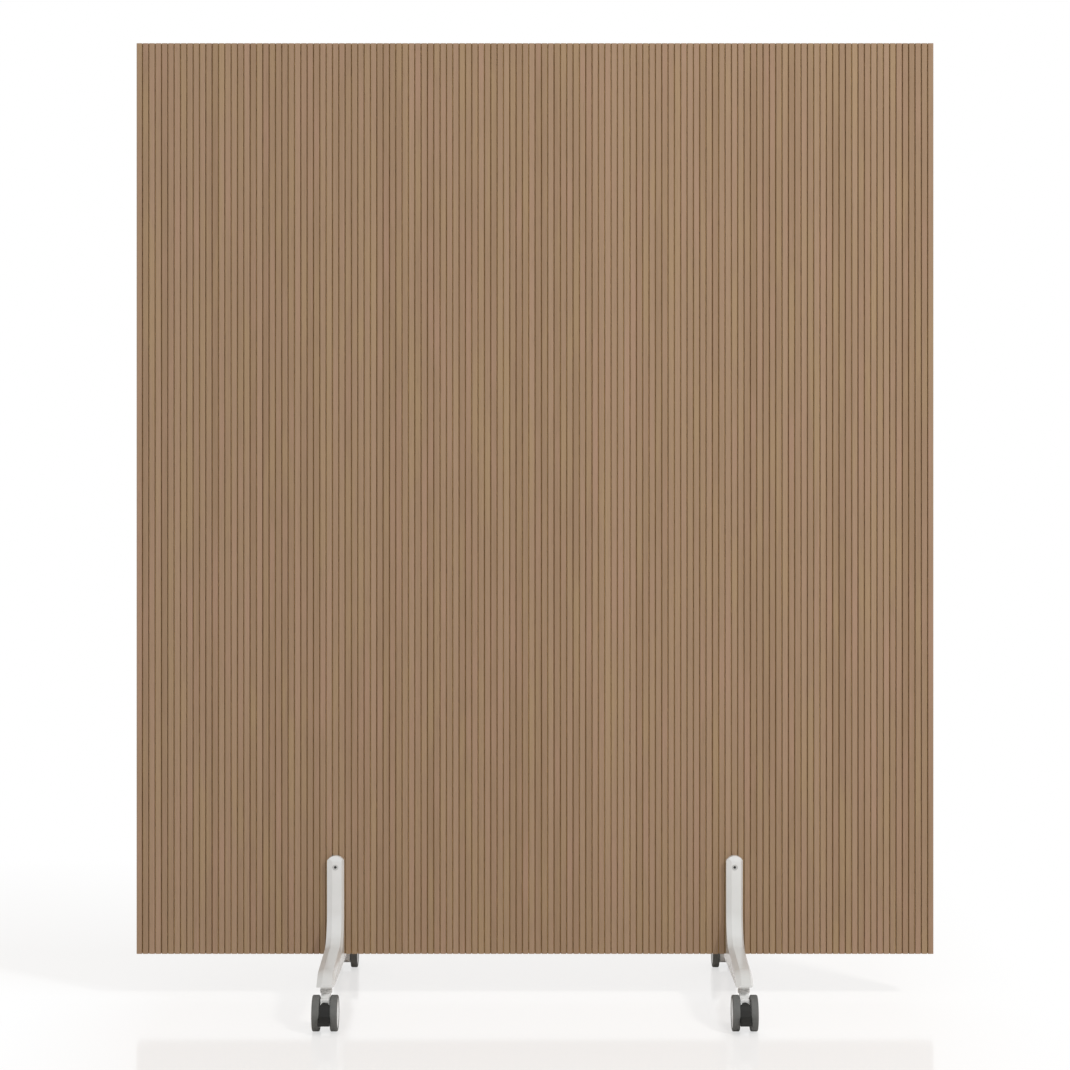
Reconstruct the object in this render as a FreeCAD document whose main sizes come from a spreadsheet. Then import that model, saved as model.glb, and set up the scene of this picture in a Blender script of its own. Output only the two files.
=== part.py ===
import FreeCAD, Part
import math
import operator
import os
import types

import Sketcher

# Room divider on wheels: a slatted wooden panel held between cast legs on braked casters.
# Millimetres, +Z up, +X along the panel, the front towards -Y.
# The origin is on the floor, under the middle of the panel.

SIZES = {
    # Panel
    "overall_width": 1524.0,
    "overall_height": 1828.8,
    "core_thickness": 25.0,
    "backing_thickness": 1.0,
    "slat_thickness": 5.5,
    "slat_width": 10.2,
    "slat_gap": 1.9,
    "slat_edge_bevel": 0.6,
    "edge_band_thickness": 1.5,
    # Legs, measured out from the middle of the panel and up from the toe's underside
    "leg_spacing": 762.0,
    "leg_width": 32.0,
    "leg_height": 203.5,
    "leg_arch_rise": 9.0,
    "upright_thickness": 14.0,
    "toe_thickness": 14.5,
    "toe_gap": 1.0,
    "arm_root_thickness": 43.5,
    "arm_end_thickness": 23.5,
    "arm_top_reach": 244.0,
    "arm_end_reach": 275.0,
    "arm_lip_height": 4.0,
    "arm_rise": 7.8,
    "leg_bend_radius": 55.0,
    "arm_nose_radius": 70.0,
    "leg_bevel_width": 10.0,
    "leg_bevel_depth": 4.0,
    "leg_wall": 6.0,
    "arm_rib_thickness": 5.0,
    "stem_boss_diameter": 28.0,
    # Fasteners
    "clamp_bolt_drop": 21.2,
    "clamp_bolt_diameter": 6.0,
    "sleeve_diameter": 8.5,
    "sleeve_end_gap": 1.0,
    "clamp_head_diameter": 10.4,
    "clamp_head_height": 5.5,
    "clamp_recess_depth": 6.5,
    "hex_key_width": 5.0,
    "hex_key_depth": 3.0,
    "toe_screw_offset": 7.5,
    "toe_screw_diameter": 6.0,
    "toe_screw_head_diameter": 10.0,
    "toe_screw_head_height": 4.0,
    "toe_recess_depth": 5.0,
    "insert_diameter": 8.0,
    "insert_length": 16.0,
    "hole_clearance": 0.2,
    "head_clearance": 0.3,
    "thread_clearance": 0.05,
    # Casters
    "wheel_diameter": 65.0,
    "wheel_gap": 19.5,
    "tyre_width": 13.5,
    "tyre_thickness": 5.0,
    "tyre_corner_radius": 2.4,
    "rim_thickness": 3.0,
    "rim_inset": 0.8,
    "disc_thickness": 2.5,
    "disc_recess": 0.8,
    "dish_depth": 1.0,
    "dish_rim_width": 5.0,
    "hub_cap_diameter": 18.0,
    "axle_diameter": 8.0,
    "axle_grip_length": 10.0,
    "snap_groove_width": 1.6,
    "snap_groove_depth": 0.6,
    "snap_groove_edge": 1.6,
    "running_clearance": 0.05,
    "press_clearance": 0.02,
    "stem_reach": 248.0,
    "caster_trail": 20.0,
    "stem_thread_diameter": 10.0,
    "stem_thread_length": 15.0,
    "stem_flange_thickness": 7.0,
    "stem_flange_diameter": 21.0,
    "stem_flange_top_diameter": 15.0,
    "stem_flange_cone": 3.2,
    "stem_seat_depth": 0.4,
    "stem_pin_length": 24.0,
    "stem_end_gap": 0.3,
    "swivel_gap": 0.4,
    "collar_diameter": 22.0,
    "collar_height": 7.0,
    "collar_bevel": 1.2,
    "collar_groove": 0.8,
    "wheel_top_clearance": 0.5,
    "hood_side_clearance": 1.5,
    "hood_inset": 7.75,
    "hood_disc_rise": 2.0,
    "hood_front_cut": 9.0,
    "hood_heel_height": 8.0,
    "hood_heel_radius": 6.0,
    "hood_nose_diameter": 12.4,
    "pedal_pivot_reach": 12.0,
    "pedal_pivot_rise": 14.0,
    "pedal_pin_diameter": 4.0,
    "pedal_side_clearance": 0.5,
    "pedal_nose_clearance": 0.6,
    "pedal_lug_width": 10.0,
    "pedal_lug_diameter": 10.0,
    "pedal_lug_clearance": 0.3,
    "pedal_web_length": 8.6,
    "pedal_slot_depth": 7.0,
    "pedal_top_rise": 22.0,
    "pedal_top_reach": 18.5,
    "pedal_belly_reach": 27.0,
    "pedal_belly_rise": 15.0,
    "pedal_belly_radius": 20.0,
    "pedal_crease_reach": 31.5,
    "pedal_arch_rise": 5.0,
    "pedal_keel_reach": 30.0,
    "pedal_keel_drop": 16.5,
    "pedal_toe_gap": 5.5,
    "pedal_toe_length": 9.0,
    "pedal_toe_width": 21.6,
    "pedal_toe_drop": 7.5,
    "pedal_toe_thickness": 6.0,
    "pedal_toe_radius": 1.4,
    "brake_bar_diameter": 5.0,
    "brake_bar_drop": 2.0,
    "brake_bar_clearance": 2.0,
    "brake_bar_reach": 5.2,
    "brake_travel": 4.5,
    # Every cut runs past the face it opens by this much
    "cut_overrun": 5.0,
}

document = FreeCAD.newDocument("room_divider")
sheet = document.addObject("Spreadsheet::Sheet", "sizes")
for row, (name, number) in enumerate(SIZES.items(), start=1):
    sheet.set(f"A{row}", name)
    sheet.set(f"B{row}", str(number))
    sheet.setAlias(f"B{row}", name)
document.recompute()


class Size:
    """A size as its number and the sheet formula that works it out."""

    def __init__(self, number, formula):
        self.number = number
        self.formula = formula

    def __add__(self, other):
        return worked_out("+", self, other)

    def __radd__(self, other):
        return worked_out("+", other, self)

    def __sub__(self, other):
        return worked_out("-", self, other)

    def __rsub__(self, other):
        return worked_out("-", other, self)

    def __mul__(self, other):
        return worked_out("*", self, other)

    def __rmul__(self, other):
        return worked_out("*", other, self)

    def __truediv__(self, other):
        return worked_out("/", self, other)

    def __neg__(self):
        return worked_out("*", -1, self)


OPERATIONS = {"+": operator.add, "-": operator.sub, "*": operator.mul, "/": operator.truediv}


def as_size(amount):
    return amount if isinstance(amount, Size) else Size(amount, f"{amount}")


def worked_out(sign, first, second):
    first, second = as_size(first), as_size(second)
    number = OPERATIONS[sign](first.number, second.number)
    return Size(number, f"({first.formula} {sign} {second.formula})")


def whole(amount):
    return Size(round(amount.number), f"round({amount.formula})")


size = types.SimpleNamespace(**{name: Size(number, f"sizes.{name}") for name, number in SIZES.items()})

# Heights follow from the caster up: wheels, hood, collar, stem flange, leg, panel
axle_height = size.wheel_diameter / 2
hood_top = size.wheel_diameter + size.wheel_top_clearance
collar_top = hood_top + size.collar_height
stem_flange_base = collar_top + size.swivel_gap
stem_seat = stem_flange_base + size.stem_flange_thickness
arm_slope = size.arm_rise / (size.arm_end_reach - size.toe_gap / 2)
toe_underside = stem_seat - size.stem_seat_depth - arm_slope * (size.stem_reach - size.toe_gap / 2)
ground_clearance = toe_underside + size.toe_thickness
panel_height = size.overall_height - ground_clearance
leg_top = toe_underside + size.leg_height
clamp_bolt_height = leg_top - size.clamp_bolt_drop
toe_screw_seat = toe_underside + size.toe_recess_depth

# Depths, out from the middle of the panel
backing_face = size.core_thickness / 2 + size.backing_thickness
panel_face = backing_face + size.slat_thickness
upright_face = panel_face + size.upright_thickness
clamp_seat = upright_face - size.clamp_recess_depth

# Places in a caster, out from its axle
wheel_reach = size.stem_reach + size.caster_trail
wheel_radius = size.wheel_diameter / 2
hood_width = size.wheel_gap - 2 * size.hood_side_clearance
rim_radius = wheel_radius - size.tyre_thickness
rim_inner_radius = rim_radius - size.rim_thickness
axle_end = size.wheel_gap / 2 + size.axle_grip_length
groove_end = axle_end - size.snap_groove_edge
groove_start = groove_end - size.snap_groove_width
groove_radius = size.axle_diameter / 2 - size.snap_groove_depth
brake_bar_place = rim_inner_radius - size.brake_bar_diameter / 2 - size.brake_bar_clearance
stem_pin_base = hood_top - size.stem_pin_length

slat_count = whole((size.overall_width + size.slat_gap) / (size.slat_width + size.slat_gap))
clamp_hole_diameter = size.sleeve_diameter + 2 * size.hole_clearance
insert_hole_diameter = size.insert_diameter + 2 * size.thread_clearance

START, END, CENTRE = 1, 2, 3
EDGE_TOLERANCE = 0.01
SKETCH_ORIGIN = (-1, START)
SKETCH_X_AXIS, SKETCH_Y_AXIS = -1, -2


def new_body(label):
    body = document.addObject("PartDesign::Body", label)
    body.Label = label
    return body


def origin_feature(body, role):
    return next(feature for feature in body.Origin.OriginFeatures if feature.Role == role)


def new_sketch(body, name, plane, lift=None):
    """A sketch on one of the body's own planes, lifted along that plane's normal."""
    sketch = body.newObject("Sketcher::SketchObject", name)
    sketch.AttachmentSupport = [(origin_feature(body, plane), "")]
    sketch.MapMode = "FlatFace"
    if lift is not None:
        sketch.setExpression("AttachmentOffset.Base.z", lift.formula)
    return sketch


def vector(point):
    return FreeCAD.Vector(*(as_size(amount).number for amount in point))


def constrain(sketch, kind, amount, *elements):
    index = sketch.addConstraint(Sketcher.Constraint(kind, *elements, amount.number))
    sketch.setExpression(f"Constraints[{index}]", amount.formula)


def pin_point(sketch, geometry, position, point):
    """Fixes a point of the sketch at sizes from the sketch's origin."""
    for kind, axis, amount in zip(("DistanceX", "DistanceY"), (SKETCH_Y_AXIS, SKETCH_X_AXIS), point):
        if isinstance(amount, Size):
            constrain(sketch, kind, amount, *SKETCH_ORIGIN, geometry, position)
        else:
            sketch.addConstraint(Sketcher.Constraint("PointOnObject", geometry, position, axis))


def add_outline(sketch, points):
    first = sketch.GeometryCount
    for start, end in zip(points, points[1:] + points[:1]):
        sketch.addGeometry(Part.LineSegment(vector(start), vector(end)))
    for index, point in enumerate(points):
        following = first + (index + 1) % len(points)
        sketch.addConstraint(Sketcher.Constraint("Coincident", first + index, END, following, START))
        pin_point(sketch, first + index, START, point)


def add_rectangle(sketch, low, high):
    add_outline(sketch, [low, (high[0], low[1]), high, (low[0], high[1])])


def add_circle(sketch, centre, diameter):
    radius = diameter / 2
    geometry = sketch.addGeometry(Part.Circle(vector(centre), FreeCAD.Vector(0, 0, 1), radius.number))
    constrain(sketch, "Radius", radius, geometry)
    pin_point(sketch, geometry, CENTRE, centre)


def extrude(kind, body, sketch, length, symmetric, reversed_way):
    feature = body.newObject(f"PartDesign::{kind}", f"{sketch.Name}_{kind.lower()}")
    feature.Profile = sketch
    feature.SideType = "Symmetric" if symmetric else "One side"
    feature.Reversed = reversed_way
    feature.setExpression("Length", length.formula)
    return feature


def pad(body, sketch, length, symmetric=True, reversed_way=False):
    return extrude("Pad", body, sketch, length, symmetric, reversed_way)


def pocket(body, sketch, length, symmetric=True, reversed_way=False):
    """Cuts the sketch out of the body, and makes sure that it took material away."""
    document.recompute()
    volume_before = body.Shape.Volume
    feature = extrude("Pocket", body, sketch, length, symmetric, reversed_way)
    document.recompute()
    if body.Shape.Volume >= volume_before:
        raise RuntimeError(f"{feature.Name} cut nothing from {body.Label}")
    return feature


def revolve(body, sketch, axis):
    feature = body.newObject("PartDesign::Revolution", f"{sketch.Name}_revolution")
    feature.Profile = sketch
    feature.ReferenceAxis = (sketch, [axis])
    return feature


def edges_where(shape, test):
    return [f"Edge{index}" for index, edge in enumerate(shape.Edges, start=1) if test(edge)]


def dress_edges(kind, body, test, **sizes):
    """Fillets or chamfers the edges of the body's last feature that pass the test."""
    document.recompute()
    base = body.Tip
    feature = body.newObject(f"PartDesign::{kind}", f"{body.Name}_{kind.lower()}")
    feature.Base = (base, edges_where(base.Shape, test))
    for name, amount in sizes.items():
        feature.setExpression(name, amount.formula)
    return feature


def round_edges(body, radius, test):
    return dress_edges("Fillet", body, test, Radius=radius)


def repeat_along(body, **steps):
    """Repeats the whole body along X, and along Y too where a step for it is given."""
    document.recompute()
    pattern = body.newObject("PartDesign::LinearPattern", f"{body.Name}_pattern")
    pattern.TransformMode = "Whole shape"
    for suffix, (axis, (length, count)) in zip(("", "2"), steps.items()):
        setattr(pattern, f"Direction{suffix}", (origin_feature(body, f"{axis}_Axis"), [""]))
        pattern.setExpression(f"Length{suffix}", length.formula)
        pattern.setExpression(f"Occurrences{suffix}", as_size(count).formula)
    body.Tip = pattern


def place(piece, x, y, z, turn=0):
    """Puts a piece at sizes from the origin, turned about the upright through it."""
    piece.Placement = FreeCAD.Placement(FreeCAD.Vector(), FreeCAD.Rotation(FreeCAD.Vector(0, 0, 1), turn))
    for axis, amount in zip("xyz", (x, y, z)):
        piece.setExpression(f"Placement.Base.{axis}", as_size(amount).formula)


PAIR = 2
SIDES = (-1, 1)


# Panel: a core board with a backing sheet and a skin of slats on each face, banded all round


def bore_clamp_holes(body):
    holes = new_sketch(body, f"{body.Name}_clamp_holes", "XZ_Plane")
    for side in SIDES:
        add_circle(holes, (side * size.leg_spacing / 2, clamp_bolt_height), clamp_hole_diameter)
    pocket(body, holes, 2 * panel_face + size.cut_overrun)


def bore_insert_holes(body, depth):
    holes = new_sketch(body, f"{body.Name}_insert_holes", "XY_Plane", ground_clearance)
    for x_side in SIDES:
        for y_side in SIDES:
            centre = (x_side * size.leg_spacing / 2, y_side * size.toe_screw_offset)
            add_circle(holes, centre, insert_hole_diameter)
    pocket(body, holes, depth, symmetric=False, reversed_way=True)


banded_half_width = size.overall_width / 2 - size.edge_band_thickness
banded_base = ground_clearance + size.edge_band_thickness
banded_top = size.overall_height - size.edge_band_thickness


def make_board(label, thickness, lift=None):
    """A flat board inside the edge bands, about the panel's middle or lifted to one face of it."""
    body = new_body(label)
    face = new_sketch(body, f"{label}_face", "XZ_Plane", lift)
    add_rectangle(face, (-banded_half_width, banded_base), (banded_half_width, banded_top))
    pad(body, face, thickness, symmetric=lift is None)
    bore_clamp_holes(body)
    return body


def make_slats(label, side):
    body = new_body(label)
    left = -size.overall_width / 2
    right = left + size.slat_width
    back, face = side * backing_face, side * panel_face
    bevelled = side * (panel_face - size.slat_edge_bevel)
    section = new_sketch(body, f"{label}_section", "XY_Plane", ground_clearance)
    add_outline(
        section,
        [
            (left, back),
            (left, bevelled),
            (left + size.slat_edge_bevel, face),
            (right - size.slat_edge_bevel, face),
            (right, bevelled),
            (right, back),
        ],
    )
    pad(body, section, panel_height, symmetric=False)
    repeat_along(body, X=(size.overall_width - size.slat_width, slat_count))
    bore_clamp_holes(body)
    return body


def make_edge_band(label, low, high):
    body = new_body(label)
    face = new_sketch(body, f"{label}_face", "XZ_Plane")
    add_rectangle(face, low, high)
    pad(body, face, 2 * backing_face)
    return body


core_board = make_board("core_board", size.core_thickness)
bore_insert_holes(core_board, size.edge_band_thickness + size.insert_length)
bottom_edge_band = make_edge_band(
    "bottom_edge_band", (-banded_half_width, ground_clearance), (banded_half_width, banded_base)
)
bore_insert_holes(bottom_edge_band, size.edge_band_thickness + size.cut_overrun)
pieces = [
    core_board,
    make_board("front_backing", size.backing_thickness, size.core_thickness / 2),
    make_board("rear_backing", size.backing_thickness, -backing_face),
    make_slats("front_slats", -1),
    make_slats("rear_slats", 1),
    bottom_edge_band,
    make_edge_band(
        "top_edge_band", (-banded_half_width, banded_top), (banded_half_width, size.overall_height)
    ),
    make_edge_band(
        "left_edge_band",
        (-size.overall_width / 2, ground_clearance),
        (-banded_half_width, size.overall_height),
    ),
    make_edge_band(
        "right_edge_band",
        (banded_half_width, ground_clearance),
        (size.overall_width / 2, size.overall_height),
    ),
]


# Legs: four alike castings, each an upright on the panel's face, a toe under it and an arm


def is_near(value, amount):
    return abs(value - amount.number) < EDGE_TOLERANCE


def runs_across_at(edge, reach, height):
    """True of an edge along X at the given reach and height."""
    return all(is_near(corner.Y, reach) and is_near(corner.Z, height) for corner in edge.Vertexes)


def lies_on_side(edge, half_width):
    return all(is_near(abs(corner.X), half_width) for corner in edge.Vertexes)


def underside_at(reach):
    return toe_underside + arm_slope * (reach - size.toe_gap / 2)


def add_arch_waste(sketch, half_width, shoulder, top):
    """The waste over an arch, between its shoulders and past its top."""
    rise = top - shoulder
    radius = (half_width * half_width + rise * rise) / (2 * rise)
    outer, above = half_width + size.cut_overrun, top + size.cut_overrun
    right, left = (half_width, shoulder), (-half_width, shoulder)
    waste = [right, (outer, shoulder), (outer, above), (-outer, above), (-outer, shoulder), left]
    for start, end in zip(waste, waste[1:]):
        sketch.addGeometry(Part.LineSegment(vector(start), vector(end)))
    lines = len(waste) - 1
    arc = sketch.addGeometry(Part.Arc(vector(right), vector((0, top)), vector(left)))
    for line in range(lines):
        pin_point(sketch, line, START, waste[line])
        if line + 1 < lines:
            sketch.addConstraint(Sketcher.Constraint("Coincident", line, END, line + 1, START))
    pin_point(sketch, lines - 1, END, left)
    sketch.addConstraint(Sketcher.Constraint("Coincident", 0, START, arc, START))
    sketch.addConstraint(Sketcher.Constraint("Coincident", lines - 1, END, arc, END))
    constrain(sketch, "Radius", radius, arc)


def make_leg(label):
    body = new_body(label)
    arm_root_top = toe_underside + size.arm_root_thickness
    arm_end_top = underside_at(size.arm_top_reach) + size.arm_end_thickness
    arm_end_base = underside_at(size.arm_end_reach)
    side = new_sketch(body, f"{label}_side", "YZ_Plane")
    add_outline(
        side,
        [
            (size.toe_gap / 2, toe_underside),
            (size.toe_gap / 2, ground_clearance),
            (panel_face, ground_clearance),
            (panel_face, leg_top),
            (upright_face, leg_top),
            (upright_face, arm_root_top),
            (size.arm_top_reach, arm_end_top),
            (size.arm_end_reach, arm_end_base + size.arm_lip_height),
            (size.arm_end_reach, arm_end_base),
        ],
    )
    pad(body, side, size.leg_width)
    round_edges(
        body, size.leg_bend_radius, lambda edge: runs_across_at(edge, upright_face, arm_root_top)
    )
    round_edges(
        body, size.arm_nose_radius, lambda edge: runs_across_at(edge, size.arm_top_reach, arm_end_top)
    )
    bevel_leg(body, arm_end_base)
    arch = new_sketch(body, f"{label}_arch", "XZ_Plane")
    add_arch_waste(arch, size.leg_width / 2, leg_top - size.leg_arch_rise, leg_top)
    pocket(body, arch, 2 * upright_face + size.cut_overrun)
    bore_leg(body, label)
    core_out_arm(body, label, arm_end_top)
    return body


def bevel_leg(body, arm_end_base):
    """Long bevels down the front of the upright, round the bend and along the arm to its lip."""

    def is_long_front_edge(edge):
        middle = edge.valueAt((edge.FirstParameter + edge.LastParameter) / 2)
        in_front = middle.y > upright_face.number - EDGE_TOLERANCE
        above_lip = middle.z > (arm_end_base + size.arm_lip_height).number
        return lies_on_side(edge, size.leg_width / 2) and in_front and above_lip

    bevel = dress_edges(
        "Chamfer", body, is_long_front_edge, Size=size.leg_bevel_width, Size2=size.leg_bevel_depth
    )
    bevel.ChamferType = "Two distances"


def bore_leg(body, label):
    """Clamp bolt hole and recess, toe screw hole and recess, caster seat and thread."""
    clamp_hole = new_sketch(body, f"{label}_clamp_hole", "XZ_Plane")
    add_circle(clamp_hole, (0, clamp_bolt_height), clamp_hole_diameter)
    pocket(body, clamp_hole, 2 * upright_face + size.cut_overrun)
    clamp_recess = new_sketch(body, f"{label}_clamp_recess", "XZ_Plane", -clamp_seat)
    add_circle(clamp_recess, (0, clamp_bolt_height), size.clamp_head_diameter + 2 * size.head_clearance)
    pocket(body, clamp_recess, size.clamp_recess_depth + size.cut_overrun, symmetric=False)
    toe_hole_diameter = size.toe_screw_diameter + 2 * size.hole_clearance
    toe_hole_end = ground_clearance + size.cut_overrun
    toe_recess_diameter = size.toe_screw_head_diameter + 2 * size.head_clearance
    thread_diameter = size.stem_thread_diameter + 2 * size.thread_clearance
    thread_end = stem_seat + size.stem_thread_length + size.stem_end_gap
    for name, reach, diameter, top in (
        ("toe_hole", size.toe_screw_offset, toe_hole_diameter, toe_hole_end),
        ("toe_recess", size.toe_screw_offset, toe_recess_diameter, toe_screw_seat),
        ("stem_seat", size.stem_reach, size.stem_flange_diameter, stem_seat),
        ("stem_thread", size.stem_reach, thread_diameter, thread_end),
    ):
        hole = new_sketch(body, f"{label}_{name}", "XY_Plane")
        add_circle(hole, (0, reach), diameter)
        pocket(body, hole, top, symmetric=False, reversed_way=True)


def core_out_arm(body, label, arm_end_top):
    """Two hollows in the arm's underside, with a rib between them."""
    start = upright_face + size.leg_wall
    end = size.stem_reach - size.stem_boss_diameter / 2
    rib_start = (start + end - size.arm_rib_thickness) / 2
    half_width = size.leg_width / 2 - size.leg_wall
    hollows = new_sketch(body, f"{label}_hollows", "XY_Plane")
    add_rectangle(hollows, (-half_width, start), (half_width, rib_start))
    add_rectangle(hollows, (-half_width, rib_start + size.arm_rib_thickness), (half_width, end))
    pocket(body, hollows, arm_end_top - size.leg_wall, symmetric=False, reversed_way=True)


HALF_TURN = 180
CORNERS = {"front_left": (-1, -1), "front_right": (1, -1), "rear_left": (-1, 1), "rear_right": (1, 1)}


def place_at_corner(piece, corner, reach=0, height=0):
    """Puts a piece modelled with +Y outwards under its leg, facing away from the panel."""
    x_side, y_side = CORNERS[corner]
    turn = HALF_TURN if y_side < 0 else 0
    place(piece, x_side * size.leg_spacing / 2, y_side * reach, height, turn)


for corner in CORNERS:
    leg = make_leg(f"{corner}_leg")
    place_at_corner(leg, corner)
    pieces.append(leg)


# Fasteners: bolts and sleeve nuts that clamp the legs, screws and inserts that hold their toes


def cut_hex_socket(body, plane, face, reversed_way):
    """A hexagon socket for a key, cut into the head from its face."""
    flat, corner = size.hex_key_width / 2, size.hex_key_width / math.sqrt(3)
    socket = new_sketch(body, f"{body.Name}_socket", plane, face)
    add_outline(
        socket,
        [
            (corner, 0),
            (corner / 2, flat),
            (-corner / 2, flat),
            (-corner, 0),
            (-corner / 2, -flat),
            (corner / 2, -flat),
        ],
    )
    pocket(body, socket, size.hex_key_depth, symmetric=False, reversed_way=reversed_way)


def make_clamp_bolts(label):
    """Bolts along Y, with their heads in the front legs."""
    body = new_body(label)
    shank_radius, head_radius = size.clamp_bolt_diameter / 2, size.clamp_head_diameter / 2
    head_face = -(clamp_seat + size.clamp_head_height)
    tip = size.core_thickness / 2 - size.sleeve_end_gap
    profile = new_sketch(body, f"{label}_profile", "XY_Plane")
    add_outline(
        profile,
        [
            (0, head_face),
            (head_radius, head_face),
            (head_radius, -clamp_seat),
            (shank_radius, -clamp_seat),
            (shank_radius, tip),
            (0, tip),
        ],
    )
    revolve(body, profile, "V_Axis")
    cut_hex_socket(body, "XZ_Plane", -head_face, reversed_way=False)
    return body


def make_sleeve_nuts(label):
    """Sleeves along Y, with their heads in the rear legs and a blind thread for the bolts."""
    body = new_body(label)
    bore_radius = size.clamp_bolt_diameter / 2 + size.thread_clearance
    sleeve_radius, head_radius = size.sleeve_diameter / 2, size.clamp_head_diameter / 2
    head_face = clamp_seat + size.clamp_head_height
    sleeve_end = -(clamp_seat - size.sleeve_end_gap)
    bore_end = size.core_thickness / 2
    profile = new_sketch(body, f"{label}_profile", "XY_Plane")
    add_outline(
        profile,
        [
            (0, head_face),
            (head_radius, head_face),
            (head_radius, clamp_seat),
            (sleeve_radius, clamp_seat),
            (sleeve_radius, sleeve_end),
            (bore_radius, sleeve_end),
            (bore_radius, bore_end),
            (0, bore_end),
        ],
    )
    revolve(body, profile, "V_Axis")
    cut_hex_socket(body, "XZ_Plane", -head_face, reversed_way=True)
    return body


def make_toe_screws(label):
    """Screws along Z, with their heads in the toes' undersides."""
    body = new_body(label)
    shank_radius, head_radius = size.toe_screw_diameter / 2, size.toe_screw_head_diameter / 2
    head_face = toe_screw_seat - size.toe_screw_head_height
    tip = banded_base + size.insert_length
    profile = new_sketch(body, f"{label}_profile", "XZ_Plane")
    add_outline(
        profile,
        [
            (0, head_face),
            (head_radius, head_face),
            (head_radius, toe_screw_seat),
            (shank_radius, toe_screw_seat),
            (shank_radius, tip),
            (0, tip),
        ],
    )
    revolve(body, profile, "V_Axis")
    cut_hex_socket(body, "XY_Plane", head_face, reversed_way=True)
    return body


def make_threaded_inserts(label):
    body = new_body(label)
    bore_radius = size.toe_screw_diameter / 2 + size.thread_clearance
    profile = new_sketch(body, f"{label}_profile", "XZ_Plane")
    add_rectangle(
        profile, (bore_radius, banded_base), (size.insert_diameter / 2, banded_base + size.insert_length)
    )
    revolve(body, profile, "V_Axis")
    return body


for fastener in (make_clamp_bolts("clamp_bolts"), make_sleeve_nuts("clamp_sleeve_nuts")):
    repeat_along(fastener, X=(size.leg_spacing, PAIR))
    place(fastener, -size.leg_spacing / 2, 0, clamp_bolt_height)
    pieces.append(fastener)
for fastener in (make_toe_screws("toe_screws"), make_threaded_inserts("threaded_inserts")):
    repeat_along(fastener, X=(size.leg_spacing, PAIR), Y=(2 * size.toe_screw_offset, PAIR))
    place(fastener, -size.leg_spacing / 2, -size.toe_screw_offset, 0)
    pieces.append(fastener)


# Casters: a stem in the leg, and a hood that swivels on it with two wheels and a brake pedal


def make_stem(label):
    body = new_body(label)
    radius = size.stem_thread_diameter / 2
    profile = new_sketch(body, f"{label}_profile", "XZ_Plane")
    add_outline(
        profile,
        [
            (0, stem_pin_base),
            (radius, stem_pin_base),
            (radius, stem_flange_base),
            (size.stem_flange_diameter / 2, stem_flange_base),
            (size.stem_flange_diameter / 2, stem_seat - size.stem_flange_cone),
            (size.stem_flange_top_diameter / 2, stem_seat),
            (radius, stem_seat),
            (radius, stem_seat + size.stem_thread_length),
            (0, stem_seat + size.stem_thread_length),
        ],
    )
    revolve(body, profile, "V_Axis")
    return body


def make_collar(label):
    """The ring that closes the swivel, with a groove round its middle."""
    body = new_body(label)
    bore_radius = size.stem_thread_diameter / 2 + size.running_clearance
    radius = size.collar_diameter / 2
    groove_base = (hood_top + collar_top - size.collar_groove) / 2
    groove_top = groove_base + size.collar_groove
    profile = new_sketch(body, f"{label}_profile", "XZ_Plane")
    add_outline(
        profile,
        [
            (bore_radius, hood_top),
            (radius, hood_top),
            (radius, groove_base),
            (radius - size.collar_groove, groove_base),
            (radius - size.collar_groove, groove_top),
            (radius, groove_top),
            (radius, collar_top - size.collar_bevel),
            (radius - size.collar_bevel, collar_top),
            (bore_radius, collar_top),
        ],
    )
    revolve(body, profile, "V_Axis")
    return body


pedal_pivot = (size.pedal_pivot_reach, size.pedal_pivot_rise)


def make_hood(label):
    """The moulding between the wheels: a neck for the stem, a disc round the axle and a nose for the pedal."""
    body = new_body(label)
    disc_radius = wheel_radius - size.hood_inset
    neck_back = -(size.caster_trail + hood_width / 2)
    neck_front = hood_width / 2 - size.caster_trail
    neck_top = hood_top - axle_height
    neck = new_sketch(body, f"{label}_neck", "YZ_Plane")
    add_outline(
        neck,
        [
            (neck_back, size.hood_heel_height),
            (neck_back, neck_top),
            (neck_front, neck_top),
            (0, size.hood_disc_rise + disc_radius),
            (0, size.hood_disc_rise),
        ],
    )
    pad(body, neck, hood_width)
    round_edges(
        body, size.hood_heel_radius, lambda edge: runs_across_at(edge, neck_back, size.hood_heel_height)
    )
    disc = new_sketch(body, f"{label}_disc", "YZ_Plane")
    add_circle(disc, (0, size.hood_disc_rise), 2 * disc_radius)
    pad(body, disc, hood_width)
    front = new_sketch(body, f"{label}_front", "YZ_Plane")
    add_rectangle(front, (size.hood_front_cut, -wheel_radius), (wheel_radius, wheel_radius))
    pocket(body, front, hood_width + size.cut_overrun)
    nose = new_sketch(body, f"{label}_nose", "YZ_Plane")
    add_circle(nose, pedal_pivot, size.hood_nose_diameter)
    pad(body, nose, hood_width)
    bore_hood(body, label)
    return body


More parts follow.
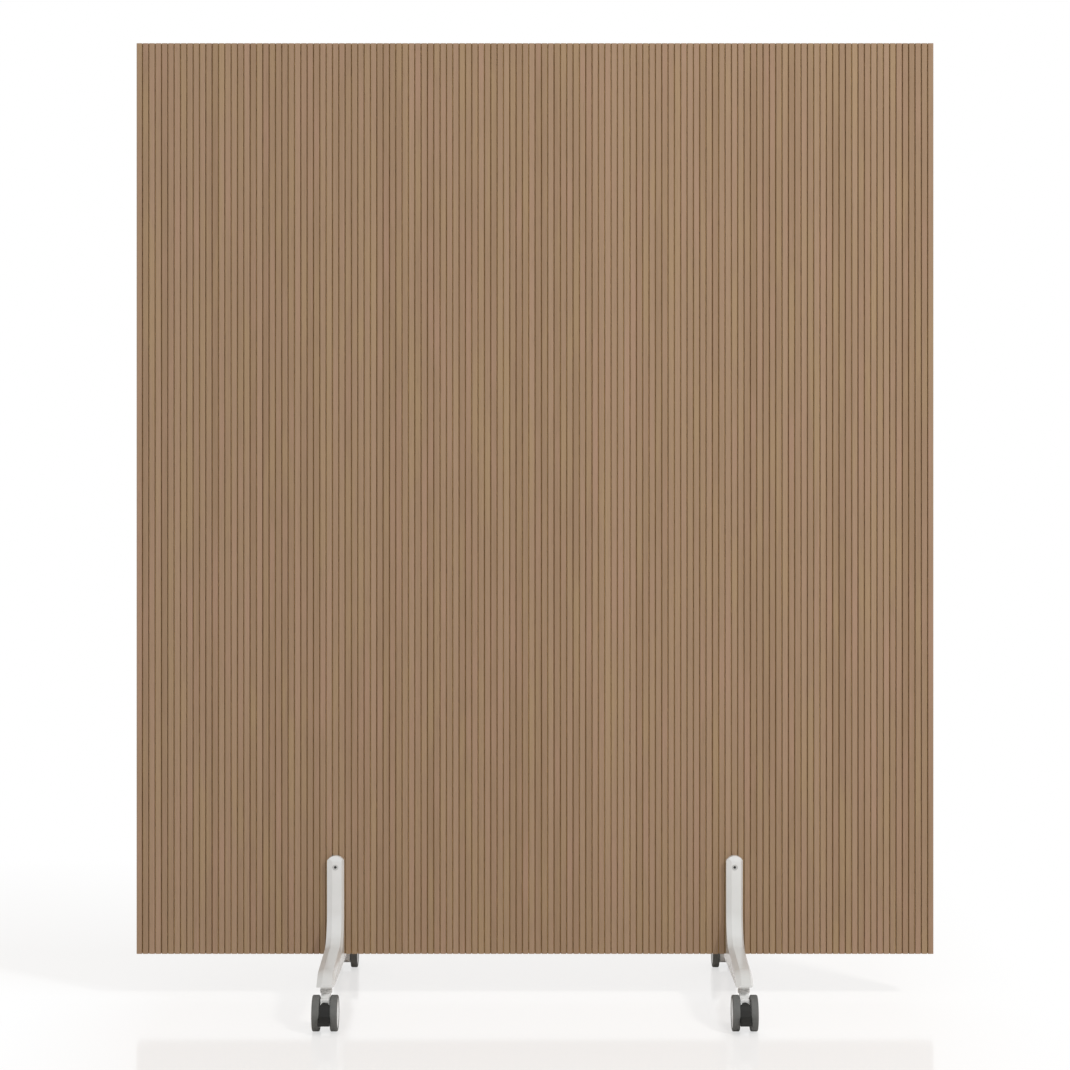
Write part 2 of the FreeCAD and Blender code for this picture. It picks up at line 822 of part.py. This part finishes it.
def bore_hood(body, label):
    """Stem socket, axle and pin bores, and the slot that the pedal's lug turns in."""
    stem_socket = new_sketch(body, f"{label}_stem_socket", "XY_Plane", hood_top - axle_height)
    add_circle(
        stem_socket, (0, -size.caster_trail), size.stem_thread_diameter + 2 * size.running_clearance
    )
    pocket(body, stem_socket, size.stem_pin_length + size.stem_end_gap, symmetric=False)
    bores = new_sketch(body, f"{label}_bores", "YZ_Plane")
    add_circle(bores, (0, 0), size.axle_diameter + 2 * size.press_clearance)
    add_circle(bores, pedal_pivot, size.pedal_pin_diameter + 2 * size.press_clearance)
    pocket(body, bores, hood_width + size.cut_overrun)
    slot_half_width = size.pedal_lug_width / 2 + size.pedal_lug_clearance
    nose_base = size.pedal_pivot_rise - size.hood_nose_diameter / 2
    slot = new_sketch(body, f"{label}_slot", "XY_Plane", nose_base)
    add_rectangle(
        slot,
        (-slot_half_width, size.pedal_pivot_reach - size.pedal_slot_depth),
        (slot_half_width, size.pedal_pivot_reach + size.hood_nose_diameter),
    )
    slot_height = size.hood_nose_diameter + size.pedal_lug_clearance
    pocket(body, slot, slot_height, symmetric=False, reversed_way=True)


def make_pedal_pin(label):
    body = new_body(label)
    end = new_sketch(body, f"{label}_end", "YZ_Plane")
    add_circle(end, pedal_pivot, size.pedal_pin_diameter)
    pad(body, end, hood_width)
    return body


def make_axle(label):
    """The axle, with a groove near each end that a hub snaps into."""
    body = new_body(label)
    radius = size.axle_diameter / 2
    half = [
        (groove_start, radius),
        (groove_start, groove_radius),
        (groove_end, groove_radius),
        (groove_end, radius),
        (axle_end, radius),
        (axle_end, 0),
    ]
    mirrored = [(-along, away) for along, away in reversed(half)]
    profile = new_sketch(body, f"{label}_profile", "XZ_Plane")
    add_outline(profile, mirrored + half)
    revolve(body, profile, "H_Axis")
    return body


def make_hub(label, side):
    """A wheel's disc and rim, with a brake drum and a blind bore that snaps onto the axle."""
    body = new_body(label)
    inner = size.wheel_gap / 2
    outer = inner + size.tyre_width - size.disc_recess
    disc_back = outer - size.disc_thickness
    bore_radius = size.axle_diameter / 2 + size.running_clearance
    bead_radius = groove_radius + size.running_clearance
    bead_start = groove_start + size.running_clearance
    bead_end = groove_end - size.running_clearance
    bore_end = axle_end + size.stem_end_gap
    drum_radius = brake_bar_place - size.brake_bar_diameter / 2 - size.brake_travel
    dish_radius = rim_radius - size.dish_rim_width
    cap_radius = size.hub_cap_diameter / 2
    rim_edge = inner + size.rim_inset
    profile = new_sketch(body, f"{label}_profile", "XZ_Plane")
    points = [
        (inner, bore_radius),
        (bead_start, bore_radius),
        (bead_start, bead_radius),
        (bead_end, bead_radius),
        (bead_end, bore_radius),
        (bore_end, bore_radius),
        (bore_end, 0),
        (outer, 0),
        (outer, cap_radius),
        (outer - size.dish_depth, cap_radius + size.dish_depth),
        (outer - size.dish_depth, dish_radius - size.dish_depth),
        (outer, dish_radius),
        (outer, rim_radius),
        (rim_edge, rim_radius),
        (rim_edge, rim_inner_radius),
        (disc_back, rim_inner_radius),
        (disc_back, drum_radius),
        (inner, drum_radius),
    ]
    add_outline(profile, [(side * along, away) for along, away in points])
    revolve(body, profile, "H_Axis")
    return body


def make_tyre(label, side):
    body = new_body(label)
    inner = size.wheel_gap / 2
    profile = new_sketch(body, f"{label}_profile", "XZ_Plane")
    add_rectangle(
        profile,
        (side * inner, rim_radius + size.press_clearance),
        (side * (inner + size.tyre_width), wheel_radius),
    )
    revolve(body, profile, "H_Axis")
    round_edges(
        body,
        size.tyre_corner_radius,
        lambda edge: hasattr(edge.Curve, "Radius") and is_near(edge.Curve.Radius, wheel_radius),
    )
    return body


def make_pedal(label):
    """A brake pedal: an arched cover over the hood's nose, a toe, a lug on the pin and a brake bar."""
    body = new_body(label)
    width = size.wheel_gap - 2 * size.pedal_side_clearance
    toe_start = wheel_radius + size.pedal_toe_gap
    toe_end = toe_start + size.pedal_toe_length
    toe_base = -(size.pedal_toe_drop + size.pedal_toe_thickness)
    belly = (size.pedal_belly_reach, size.pedal_belly_rise)
    cover = new_sketch(body, f"{label}_cover", "YZ_Plane")
    add_outline(
        cover,
        [
            pedal_pivot,
            (size.pedal_pivot_reach, size.pedal_top_rise),
            (size.pedal_top_reach, size.pedal_top_rise),
            belly,
            (size.pedal_crease_reach, 0),
            (toe_end, -size.pedal_toe_drop),
            (toe_end, toe_base),
            (size.pedal_keel_reach, -size.pedal_keel_drop),
            (brake_bar_place, -(size.brake_bar_drop + size.brake_bar_diameter)),
            (brake_bar_place, size.pedal_pivot_rise),
        ],
    )
    pad(body, cover, width)
    round_edges(body, size.pedal_belly_radius, lambda edge: runs_across_at(edge, *belly))
    arch = new_sketch(body, f"{label}_arch", "XZ_Plane")
    add_arch_waste(arch, width / 2, size.pedal_top_rise - size.pedal_arch_rise, size.pedal_top_rise)
    pocket(body, arch, 2 * toe_end)
    toe = new_sketch(body, f"{label}_toe", "YZ_Plane")
    add_rectangle(toe, (toe_start, toe_base), (toe_end, -size.pedal_toe_drop))
    pad(body, toe, size.pedal_toe_width)
    round_edges(
        body,
        size.pedal_toe_radius,
        lambda edge: lies_on_side(edge, size.pedal_toe_width / 2)
        and all(is_near(corner.Y, toe_end) for corner in edge.Vertexes),
    )
    hang_pedal(body, label, width)
    return body


def hang_pedal(body, label, width):
    """Clears the pedal round the hood's nose, then adds its lug, pin bore and brake bar."""
    room = new_sketch(body, f"{label}_room", "YZ_Plane")
    add_circle(room, pedal_pivot, size.hood_nose_diameter + 2 * size.pedal_nose_clearance)
    pocket(body, room, width + size.cut_overrun)
    lug_radius = size.pedal_lug_diameter / 2
    web = new_sketch(body, f"{label}_web", "YZ_Plane")
    add_rectangle(
        web,
        (size.pedal_pivot_reach, size.pedal_pivot_rise - lug_radius),
        (size.pedal_pivot_reach + size.pedal_web_length, size.pedal_pivot_rise + lug_radius),
    )
    pad(body, web, size.pedal_lug_width)
    lug = new_sketch(body, f"{label}_lug", "YZ_Plane")
    add_circle(lug, pedal_pivot, size.pedal_lug_diameter)
    pad(body, lug, size.pedal_lug_width)
    pin_bore = new_sketch(body, f"{label}_pin_bore", "YZ_Plane")
    add_circle(pin_bore, pedal_pivot, size.pedal_pin_diameter + 2 * size.running_clearance)
    pocket(body, pin_bore, size.pedal_lug_width + size.cut_overrun)
    bar = new_sketch(body, f"{label}_bar", "YZ_Plane")
    add_circle(bar, (brake_bar_place, -size.brake_bar_drop), size.brake_bar_diameter)
    pad(body, bar, size.wheel_gap + 2 * size.brake_bar_reach)


for corner, (_, y_side) in CORNERS.items():
    for piece in (make_stem(f"{corner}_stem"), make_collar(f"{corner}_collar")):
        place_at_corner(piece, corner, size.stem_reach)
        pieces.append(piece)
    caster_pieces = [
        make_hood(f"{corner}_hood"),
        make_axle(f"{corner}_axle"),
        make_pedal_pin(f"{corner}_pedal_pin"),
        make_pedal(f"{corner}_pedal"),
    ]
    for wheel, wheel_side in (("left", -1), ("right", 1)):
        caster_pieces.append(make_hub(f"{corner}_{wheel}_hub", y_side * wheel_side))
        caster_pieces.append(make_tyre(f"{corner}_{wheel}_tyre", y_side * wheel_side))
    for piece in caster_pieces:
        place_at_corner(piece, corner, wheel_reach, axle_height)
    pieces.extend(caster_pieces)


document.recompute()
failed = [item.Name for item in document.Objects if {"Invalid", "Error"} & set(item.State)]
failed += [piece.Label for piece in pieces if piece.Shape.isNull() or not piece.Shape.isValid()]
if failed:
    raise RuntimeError(f"these did not build: {failed}")
os.makedirs("parts", exist_ok=True)
for piece in pieces:
    piece.Shape.exportStep(f"parts/{piece.Label}.step")
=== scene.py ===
import math

import bpy
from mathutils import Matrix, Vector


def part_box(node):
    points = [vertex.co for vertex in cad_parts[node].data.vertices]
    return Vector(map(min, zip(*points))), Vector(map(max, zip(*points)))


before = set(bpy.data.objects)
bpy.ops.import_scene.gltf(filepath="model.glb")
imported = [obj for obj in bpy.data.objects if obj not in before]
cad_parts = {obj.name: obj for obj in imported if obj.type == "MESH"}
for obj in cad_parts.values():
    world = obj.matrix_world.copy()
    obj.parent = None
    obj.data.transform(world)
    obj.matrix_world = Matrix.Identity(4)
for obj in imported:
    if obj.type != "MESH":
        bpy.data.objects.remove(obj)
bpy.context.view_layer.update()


# Core board: a plain furniture board, sawn to size and bored for the leg bolts.
# The slats and edge bands hide it, and it carries everything that is fixed to the panel.

class Wire:
    """One output of a finish's nodes, which can be used in sums."""

    def __init__(self, finish, socket):
        self.finish = finish
        self.socket = socket

    def __add__(self, other):
        return self.finish.maths("ADD", self, other)

    __radd__ = __add__

    def __mul__(self, other):
        return self.finish.maths("MULTIPLY", self, other)

    __rmul__ = __mul__

    def __sub__(self, other):
        return self.finish.maths("SUBTRACT", self, other)

    def __rsub__(self, other):
        return self.finish.maths("SUBTRACT", other, self)

    def __truediv__(self, other):
        return self.finish.maths("DIVIDE", self, other)


class Finish:
    """The nodes of a surface finish, or of the studio's light, which are added one at a time."""

    def __init__(self, owner):
        owner.use_nodes = True
        self.owner = owner
        self.tree = owner.node_tree
        self.shader = self.tree.nodes.get("Principled BSDF")

    def set(self, node, sockets):
        for name, value in sockets.items():
            if isinstance(value, Wire):
                self.tree.links.new(value.socket, node.inputs[name])
            else:
                node.inputs[name].default_value = value

    def node(self, kind, settings, sockets, output=0):
        """Adds a node, with its settings first, then the values or wires of its sockets."""
        node = self.tree.nodes.new(f"ShaderNode{kind}")
        for name, value in settings.items():
            setattr(node, name, value)
        self.set(node, sockets)
        return Wire(self, node.outputs[output])

    def maths(self, operation, *values):
        return self.node("Math", {"operation": operation}, dict(enumerate(values)))

    def place(self):
        """The point on the object, in metres from the floor under the panel's middle."""
        return self.node("TexCoord", {}, {}, "Object")

    def along(self, axis):
        """How far the point lies along one axis."""
        return self.node("SeparateXYZ", {}, {"Vector": self.place()}, axis)

    def chance(self, number):
        """A random share that stays the same for each whole number."""
        return self.node("TexWhiteNoise", {"noise_dimensions": "1D"}, {"W": number}, "Value")

    def noise(self, place, fineness, detail=2.0, roughness=0.5):
        return self.node("TexNoise", {}, {
            "Vector": place, "Scale": fineness, "Detail": detail, "Roughness": roughness})

    def fibre(self, place, fineness, detail, roughness=0.5):
        """Noise drawn out along the grain, which runs upwards, with its fineness across and along."""
        across, along = fineness
        drawn_out = self.node("Mapping", {}, {"Vector": place, "Scale": (across, across, along)})
        return self.noise(drawn_out, 1.0, detail, roughness)

    def spread(self, value, low, high, new_low, new_high):
        """A value moved from one range to another, and held to it."""
        return self.node("MapRange", {"clamp": True}, {
            "Value": value, "From Min": low, "From Max": high, "To Min": new_low, "To Max": new_high})

    def even(self, noise, new_low=0.0, new_high=1.0, reach=0.2):
        """The part of a noise's range that it mostly keeps to, moved to another range."""
        return self.spread(noise, 0.5 - reach, 0.5 + reach, new_low, new_high)

    def mix(self, share, first, second):
        """A colour between two others."""
        return self.node("Mix", {"data_type": "RGBA"}, {0: share, 6: first, 7: second}, 2)

    def bump(self, height, strength, distance):
        return self.node("Bump", {}, {"Strength": strength, "Distance": distance, "Height": height})

    def paint(self, *nodes):
        """Gives the finish to pieces of the frame."""
        for name in nodes:
            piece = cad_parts[name].data
            piece.materials.clear()
            piece.materials.append(self.owner)


def new_finish(name):
    return Finish(bpy.data.materials.new(name))


def colour(red, green, blue):
    """A colour as it is seen on a screen, from 0 to 255, as the light that a shader works with."""
    shares = [value / 255 for value in (red, green, blue)]
    return (*(s / 12.92 if s <= 0.04045 else ((s + 0.055) / 1.055) ** 2.4 for s in shares), 1.0)


BOARD_DARK, BOARD_LIGHT = colour(150, 122, 92), colour(196, 168, 134)
CHIP_FINENESS, CHIP_DEPTH = 320.0, 0.0004

board = new_finish("raw_board")
chips = board.noise(board.place(), CHIP_FINENESS, 4.0, 0.7)
board.set(board.shader, {
    "Base Color": board.mix(board.even(chips), BOARD_DARK, BOARD_LIGHT),
    "Roughness": 0.85,
    "Normal": board.bump(chips, 0.3, CHIP_DEPTH),
})
board.paint("core_board")


# Backing sheets: thin stained hardboard, glued to both faces of the board.
# They close the grooves between the slats, so only narrow strips of them can be seen.

PANEL_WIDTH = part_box("front_slats")[1].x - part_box("front_slats")[0].x
SLAT_WIDTH, SLAT_GAP = 0.0102, 0.0019
SLAT_PITCH = (PANEL_WIDTH + SLAT_GAP) / round((PANEL_WIDTH + SLAT_GAP) / (SLAT_WIDTH + SLAT_GAP))
BACKING_DARK, BACKING_LIGHT = colour(178, 133, 75), colour(255, 218, 154)
BACKING_FIBRES, BACKING_STAIN = (900.0, 60.0), (70.0, 3.0)
GROOVE_SHARE, STAIN_SHARE = 0.55, 0.45

backing = new_finish("stained_backing")
groove = backing.maths("FLOOR", (backing.along("X") + PANEL_WIDTH / 2) / SLAT_PITCH + 0.5)
fibres = backing.fibre(backing.place(), BACKING_FIBRES, 3.0, 0.6)
stain = backing.fibre(backing.place(), BACKING_STAIN, 3.0, 0.6)
mottle = backing.even(stain * 0.8 + fibres * 0.2, 0.0, STAIN_SHARE, reach=0.15)
backing.set(backing.shader, {
    "Base Color": backing.mix(
        backing.chance(groove) * GROOVE_SHARE + mottle, BACKING_DARK, BACKING_LIGHT),
    "Roughness": 0.9,
    "Normal": backing.bump(fibres, 0.2, 0.0002),
})
backing.paint("front_backing", "rear_backing")


# Slats: narrow strips of mid-brown wood with eased front edges, glued side by side to the backing.
# Each is cut from another place in the board, so its tone and grain differ from its neighbours'.

WOOD_DARK, WOOD_LIGHT = colour(138, 112, 86), colour(160, 133, 109)
WOOD_ROSY, WOOD_OLIVE, WOOD_PORE = colour(161, 129, 109), colour(157, 132, 98), colour(112, 86, 62)
WOOD_FIGURE, WOOD_GRAIN, WOOD_PORES, WOOD_BLUSH = (60.0, 1.6), (520.0, 5.0), (2200.0, 26.0), (30.0, 4.0)
STRIP_SHARE, FIGURE_SHARE, GRAIN_SHARE = 0.42, 0.34, 0.24
BOARD_WIDTH, BOARD_LENGTH = 3.0, 9.0
SECOND_DRAW = 57.3


def add_wood(name, strip_width, pore_share):
    """Matt wood with upright grain, whose tone changes from strip to strip."""
    wood = new_finish(name)
    strip = wood.maths("FLOOR", (wood.along("X") + PANEL_WIDTH / 2 + SLAT_GAP / 2) / strip_width)
    across, along = wood.chance(strip), wood.chance(strip + SECOND_DRAW)
    cut_from = wood.node("CombineXYZ", {}, {"X": across * BOARD_WIDTH, "Z": along * BOARD_LENGTH})
    place = wood.node("VectorMath", {"operation": "ADD"}, {0: wood.place(), 1: cut_from})
    figure = wood.fibre(place, WOOD_FIGURE, 3.0, 0.55)
    grain = wood.fibre(place, WOOD_GRAIN, 4.0, 0.6)
    pores = wood.spread(wood.fibre(place, WOOD_PORES, 2.0), 0.60, 0.74, 0.0, pore_share)
    blush = wood.fibre(place, WOOD_BLUSH, 2.0)
    tone = across * STRIP_SHARE + wood.even(figure, 0.0, FIGURE_SHARE) + wood.even(grain, 0.0, GRAIN_SHARE)
    body = wood.mix(tone, WOOD_DARK, WOOD_LIGHT)
    rosy = wood.mix(wood.spread(blush, 0.52, 0.72, 0.0, 0.5), body, WOOD_ROSY)
    warm = wood.mix(wood.spread(blush, 0.48, 0.30, 0.0, 0.5), rosy, WOOD_OLIVE)
    wood.set(wood.shader, {
        "Base Color": wood.mix(pores, warm, WOOD_PORE),
        "Roughness": wood.even(grain, 0.58, 0.70),
        "Normal": wood.bump(grain - pores, 0.25, 0.0003),
        "Specular IOR Level": 0.35,
    })
    return wood


add_wood("slat_wood", SLAT_PITCH, 0.55).paint("front_slats", "rear_slats")


# Edge bands: thin strips of the same wood, ironed on round the board's four edges.
# The side bands run the full height, and the top and bottom bands fit between them.

add_wood("edge_band_wood", PANEL_WIDTH, 0.45).paint(
    "left_edge_band", "right_edge_band", "top_edge_band", "bottom_edge_band")


# Legs: four alike metal castings in a smooth light silver paint, bevelled along the front.
# They stand in pairs either side of the panel, clamped through it and screwed up under it.

CORNERS = ("front_left", "front_right", "rear_left", "rear_right")
PAINT_LOW, PAINT_HIGH = colour(212, 213, 211), colour(217, 217, 216)
PAINT_FINENESS, PAINT_DEPTH = 1800.0, 0.00012
TONE_FINENESS = 14.0


def at_corners(*pieces):
    return [f"{corner}_{piece}" for corner in CORNERS for piece in pieces]


def add_coated(name, tone, other_tone, roughness, fineness, depth, shine=0.5):
    """A paint or moulding with a fine skin and tones that drift a little over the piece."""
    coat = new_finish(name)
    skin = coat.noise(coat.place(), fineness)
    drift = coat.noise(coat.place(), TONE_FINENESS, 3.0, 0.55)
    coat.set(coat.shader, {
        "Base Color": coat.mix(coat.even(drift, reach=0.15), tone, other_tone),
        "Roughness": coat.even(drift * 0.5 + skin * 0.5, roughness - 0.05, roughness + 0.05, reach=0.15),
        "Normal": coat.bump(skin, 0.25, depth),
        "Specular IOR Level": shine,
    })
    return coat


add_coated("silver_paint", PAINT_LOW, PAINT_HIGH, 0.17, PAINT_FINENESS, PAINT_DEPTH).paint(
    *at_corners("leg"))


# Fasteners: zinc-plated bolts, sleeve nuts and socket screws, and brass inserts in the board.
# The bolts clamp each pair of legs through the panel, and the screws hold the legs' toes.
# Seen from outside, the sockets in the bolts and nuts are dark holes, drawn as painted shade in the
# plating's colour.

METAL_ROUGHNESS = 0.34
METAL_FINENESS, METAL_DEPTH = 900.0, 0.00005
HEAD_FACE = -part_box("clamp_bolts")[0].y
SOCKET_RIM = 0.0002
SOCKET_SHADE = colour(16, 16, 16)


def add_metal(name, tone, other_tone):
    """Bare or plated metal, with a faint mottle from the plating and turning marks."""
    metal = new_finish(name)
    mottle = metal.noise(metal.place(), METAL_FINENESS, 3.0, 0.6)
    metal.set(metal.shader, {
        "Base Color": metal.mix(metal.even(mottle), tone, other_tone),
        "Metallic": 1.0,
        "Roughness": metal.even(mottle, METAL_ROUGHNESS - 0.06, METAL_ROUGHNESS + 0.08),
        "Normal": metal.bump(mottle, 0.1, METAL_DEPTH),
    })
    return metal


zinc = add_metal("zinc_plate", colour(178, 178, 176), colour(196, 196, 194))
zinc.paint("toe_screws")

socketed = add_metal("zinc_plate_with_painted_socket_shade", colour(178, 178, 176), colour(196, 196, 194))
# Painted shade: deeper than the head's face, the plating turns near black and loses its metal, standing in
# for the shade inside the socket.
out_from_middle = socketed.maths("ABSOLUTE", socketed.along("Y"))
painted_socket_shade = socketed.spread(
    out_from_middle, HEAD_FACE - 2 * SOCKET_RIM, HEAD_FACE - SOCKET_RIM, 1.0, 0.0)
plated = Wire(socketed, socketed.shader.inputs["Base Color"].links[0].from_socket)
socketed.set(socketed.shader, {
    "Base Color": socketed.mix(painted_socket_shade, plated, SOCKET_SHADE),
    "Metallic": 1.0 - painted_socket_shade,
})
socketed.paint("clamp_bolts", "clamp_sleeve_nuts")

add_metal("turned_brass", colour(190, 158, 92), colour(204, 174, 108)).paint("threaded_inserts")


# Caster stems, axles and pedal pins: turned steel, plated like the screws.
# A stem screws up into its leg, and the caster swivels on the pin below its flange.

zinc.paint(*at_corners("stem", "axle", "pedal_pin"))


# Caster collars: grey moulded rings with a groove, which close the swivel above the hood.
# They turn with the hood, just under the stem's flange.

MOULD_FINENESS, MOULD_DEPTH = 2600.0, 0.0001


def add_moulding(name, tone, other_tone, roughness):
    return add_coated(name, tone, other_tone, roughness, MOULD_FINENESS, MOULD_DEPTH)


add_moulding("grey_moulding", colour(207, 205, 202), colour(214, 212, 209), 0.45).paint(
    *at_corners("collar"))


# Caster hoods: light silver mouldings that stand between the two wheels.
# Each turns on its stem, and holds the axle and the pedal pin in pressed bores.

add_moulding("silver_moulding", colour(231, 231, 229), colour(236, 235, 234), 0.40).paint(
    *at_corners("hood"))


# Wheel hubs: light grey mouldings with a dished outer face and a brake drum inside.
# They run on the ends of the axle, one on either side of the hood.

add_moulding("pale_moulding", colour(225, 228, 229), colour(231, 233, 234), 0.42).paint(
    *at_corners("left_hub", "right_hub"))


# Tyres: soft grey rubber, moulded onto the hubs' rims.
# The tread is matt and a little dusty from the floor.

RUBBER_DARK, RUBBER_DUSTY = colour(90, 91, 89), colour(104, 104, 102)
DUST_FINENESS = 90.0
PIMPLE_FINENESS, PIMPLE_DEPTH = 3200.0, 0.00015

rubber = new_finish("grey_rubber")
dust = rubber.noise(rubber.place(), DUST_FINENESS, 4.0, 0.6)
pimples = rubber.noise(rubber.place(), PIMPLE_FINENESS)
rubber.set(rubber.shader, {
    "Base Color": rubber.mix(rubber.spread(dust, 0.35, 0.7, 0.0, 1.0), RUBBER_DARK, RUBBER_DUSTY),
    "Roughness": rubber.even(dust, 0.68, 0.84),
    "Normal": rubber.bump(pimples, 0.35, PIMPLE_DEPTH),
})
rubber.paint(*at_corners("left_tyre", "right_tyre"))


# Brake pedals: black mouldings that hang on a pin in the hood's nose.
# Pressed down, a pedal swings its cross bar against both wheels.

BLACK_LOW, BLACK_HIGH = colour(27, 27, 26), colour(34, 34, 32)
PEDAL_FINENESS, PEDAL_DEPTH, PEDAL_SHINE = 2200.0, 0.00014, 0.3

add_coated(
    "black_moulding", BLACK_LOW, BLACK_HIGH, 0.55, PEDAL_FINENESS, PEDAL_DEPTH, PEDAL_SHINE
).paint(*at_corners("pedal"))


# Studio: a pale, slightly glossy floor under soft light, white all round.
# The floor fades to white behind the panel and beside it, except where its shadow spills to the left.
# The camera stands level in front of the panel, as the photograph does.

WHITE = (1.0, 1.0, 1.0, 1.0)
FLOOR_SIZE = 60.0
FLOOR_TONE = (0.97, 0.93, 0.895, 1.0)
FLOOR_ROUGHNESS, FLOOR_SHINE = 0.09, 0.95
FLOOR_WHITENESS = 0.62
FADE_BEHIND, FADE_BESIDE = (0.4, 1.5), (0.68, 0.98)
SHADOW_RUN, SHADOW_SPILL = 0.4, 0.6
AIR_LIGHT = 0.78
PANEL_FOOT = (0.0, 0.0, 0.3)
EYE = (0.0, -5.019, 1.150)
LENS, SENSOR, LENS_SHIFT = 87.96, 36.0, -0.12794

bpy.ops.object.select_all(action="DESELECT")
bpy.ops.mesh.primitive_plane_add(size=FLOOR_SIZE, location=(0.0, 0.0, 0.0))
floor = bpy.context.object
floor.name = "floor"
pale = new_finish("pale_floor")
pale.set(pale.shader, {
    "Base Color": FLOOR_TONE, "Roughness": FLOOR_ROUGHNESS, "Specular IOR Level": FLOOR_SHINE})
white = pale.node("Emission", {}, {"Color": WHITE, "Strength": 1.0})
beside, behind = pale.along("X"), pale.along("Y")
past_shadow = 0.0 - beside - pale.spread(behind, 0.0, SHADOW_RUN, 0.0, SHADOW_SPILL)
whiteness = pale.maths(
    "MAXIMUM", pale.spread(behind, *FADE_BEHIND, FLOOR_WHITENESS, 1.0),
    pale.spread(pale.maths("MAXIMUM", beside, past_shadow), *FADE_BESIDE, FLOOR_WHITENESS, 1.0))
camera_ray = pale.node("LightPath", {}, {}, "Is Camera Ray")
faded = pale.node(
    "MixShader", {}, {0: camera_ray * whiteness, 1: Wire(pale, pale.shader.outputs[0]), 2: white})
pale.set(pale.tree.nodes["Material Output"], {"Surface": faded})
floor.data.materials.append(pale.owner)

world = bpy.context.scene.world or bpy.data.worlds.new("studio")
bpy.context.scene.world = world
air = Finish(world)
camera_seen, mirrored, seen_through = (
    air.node("LightPath", {}, {}, f"Is {ray} Ray") for ray in ("Camera", "Glossy", "Transmission"))
seen = air.maths("MAXIMUM", camera_seen, air.maths("MAXIMUM", mirrored, seen_through))
air.set(air.tree.nodes["Background"], {
    "Color": WHITE, "Strength": air.spread(seen, 0.0, 1.0, AIR_LIGHT, 1.0)})


def add_soft_light(name, place, width, power):
    """A square lamp that is aimed at the panel's foot."""
    lamp = bpy.data.lights.new(name, "AREA")
    lamp.shape = "SQUARE"
    lamp.size = width
    lamp.energy = power
    light = bpy.data.objects.new(name, lamp)
    bpy.context.scene.collection.objects.link(light)
    light.location = place
    right, ahead, up = (to - here for to, here in zip(PANEL_FOOT, place))
    light.rotation_euler = (math.atan2(math.hypot(right, ahead), -up), 0.0, math.atan2(-right, ahead))


add_soft_light("key_light", (3.6, -3.6, 4.6), 0.77, 157.0)
add_soft_light("front_fill", (0.0, -6.5, 1.2), 3.0, 10.0)

view = bpy.data.cameras.new("photo_view")
view.sensor_fit = "HORIZONTAL"
view.sensor_width = SENSOR
view.lens = LENS
view.shift_y = LENS_SHIFT
view.clip_end = 100.0
camera = bpy.data.objects.new("photo_view", view)
bpy.context.scene.collection.objects.link(camera)
camera.location = EYE
camera.rotation_euler = (math.pi / 2, 0.0, 0.0)
bpy.context.scene.camera = camera
bpy.context.scene.view_settings.view_transform = "Standard"
